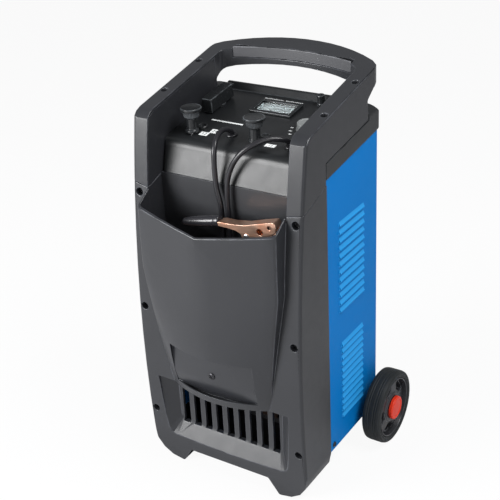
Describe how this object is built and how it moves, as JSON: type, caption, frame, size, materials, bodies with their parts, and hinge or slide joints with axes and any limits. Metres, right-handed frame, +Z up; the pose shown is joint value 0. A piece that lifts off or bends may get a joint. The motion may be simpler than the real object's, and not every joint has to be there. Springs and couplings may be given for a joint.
{
  "type": "wheeled battery charger",
  "caption": "Upright wheeled car battery charger with a lead pocket in its moulded front, a loop handle, a sloping control panel and clamp leads.",
  "frame": {"origin": "floor level, at the centre of the bounding box", "axes": "+Z up, -Y out of the front cover, +X to the right seen from the front"},
  "size_m": [0.387, 0.335, 0.6541],
  "materials": {
    "black_plastic": "fine grained moulded plastic",
    "panel_plastic": "fine grained moulded plastic",
    "grey_plastic": "satin moulded plastic",
    "blue_paint": "satin powder coat",
    "tyre_rubber": "matte rubber",
    "lead_rubber": "satin rubber jacket",
    "red_plastic": "gloss",
    "steel": "zinc plated",
    "copper": "bright copper plate",
    "clear_window": "clear",
    "meter_face": "matte print card",
    "dark_sheet": "dark primer",
    "lamination": "varnished stampings",
    "winding": "varnished copper winding"
  },
  "bodies": {
    "cabinet": {"front_cover": "black_plastic", "handle_shell": "black_plastic", "handle_liner_left": "black_plastic", "handle_liner_right": "black_plastic", "grip_insert": "grey_plastic", "top_cover": "panel_plastic", "inner_front_panel": "black_plastic", "left_side_panel": "blue_paint", "right_side_panel": "blue_paint", "rear_panel": "blue_paint", "base_plate": "dark_sheet", "mains_gland": "black_plastic", "spacer_left": "steel", "spacer_right": "steel", "axle": "steel", "terminal_stud_left": "steel", "grommet_left": "lead_rubber", "terminal_stud_right": "steel", "grommet_right": "lead_rubber", "selector_switch": "grey_plastic", "dial_switch": "grey_plastic", "fuse_holder": "black_plastic", "meter_bezel": "black_plastic", "meter_window": "clear_window", "meter_body": "meter_face", "transformer_core": "lamination", "transformer_coil": "winding", "rectifier_plate": "steel", "lead_a": "lead_rubber", "lead_a_coil": "lead_rubber", "lead_a_tail": "lead_rubber", "lead_b": "lead_rubber", "lead_b_coil": "lead_rubber", "lead_b_tail": "lead_rubber", "clamp_a_lower_jaw": "copper", "clamp_a_lower_grip": "black_plastic", "clamp_a_pin": "steel", "clamp_b_lower_jaw": "copper", "clamp_b_lower_grip": "black_plastic", "clamp_b_pin": "steel"},
    "wheel_left": {"wheel_left": "black_plastic", "tyre_left": "tyre_rubber", "hub_cap_left": "red_plastic"},
    "wheel_right": {"wheel_right": "black_plastic", "tyre_right": "tyre_rubber", "hub_cap_right": "red_plastic"},
    "selector": {"selector_bar": "panel_plastic"},
    "dial": {"dial_knob": "grey_plastic"},
    "fuse_cap": {"fuse_cap": "black_plastic"},
    "terminal_left": {"terminal_knob_left": "black_plastic"},
    "terminal_right": {"terminal_knob_right": "black_plastic"},
    "needle": {"meter_needle": "red_plastic"},
    "clamp_a_jaw": {"clamp_a_upper_jaw": "copper", "clamp_a_upper_grip": "black_plastic"},
    "clamp_b_jaw": {"clamp_b_upper_jaw": "copper", "clamp_b_upper_grip": "black_plastic"}
  },
  "joints": [
    {"name": "wheel_left_spin", "type": "hinge", "parent": "cabinet", "child": "wheel_left", "pos_m": [-0.173, 0.1035, 0.0625], "axis": [1, 0, 0], "continuous": true},
    {"name": "wheel_right_spin", "type": "hinge", "parent": "cabinet", "child": "wheel_right", "pos_m": [0.173, 0.1035, 0.0625], "axis": [1, 0, 0], "continuous": true},
    {"name": "selector_turn", "type": "hinge", "parent": "cabinet", "child": "selector", "pos_m": [-0.0955, 0.0545, 0.56863], "axis": [0, -0.1386, 0.9903], "range_deg": [-25, 25]},
    {"name": "dial_turn", "type": "hinge", "parent": "cabinet", "child": "dial", "pos_m": [0.0755, 0.027, 0.56478], "axis": [0, -0.1386, 0.9903], "range_deg": [-270, 0]},
    {"name": "fuse_cap_turn", "type": "hinge", "parent": "cabinet", "child": "fuse_cap", "pos_m": [0.0605, 0.102, 0.57528], "axis": [0, -0.1386, 0.9903], "range_deg": [0, 90]},
    {"name": "terminal_left_turn", "type": "hinge", "parent": "cabinet", "child": "terminal_left", "pos_m": [-0.0845, -0.0352, 0.5577], "axis": [0, 0, 1], "range_deg": [0, 720]},
    {"name": "terminal_right_turn", "type": "hinge", "parent": "cabinet", "child": "terminal_right", "pos_m": [0.0245, -0.0328, 0.558], "axis": [0, 0, 1], "range_deg": [0, 720]},
    {"name": "needle_swing", "type": "hinge", "parent": "cabinet", "child": "needle", "pos_m": [-0.0008, 0.05812, 0.56914], "axis": [0, -0.1386, 0.9903], "range_deg": [-85, 0], "stiffness_Nm_per_rad": 0.001},
    {"name": "clamp_a_bite", "type": "hinge", "parent": "cabinet", "child": "clamp_a_jaw", "pos_m": [0.059, -0.112, 0.4508], "axis": [0, -1, 0], "range_deg": [0, 13], "stiffness_Nm_per_rad": 2, "springref_deg": -17.19},
    {"name": "clamp_b_bite", "type": "hinge", "parent": "cabinet", "child": "clamp_b_jaw", "pos_m": [-0.0465, -0.1345, 0.4], "axis": [0, -1, 0], "range_deg": [0, 13], "stiffness_Nm_per_rad": 2, "springref_deg": -17.19}
  ]
}
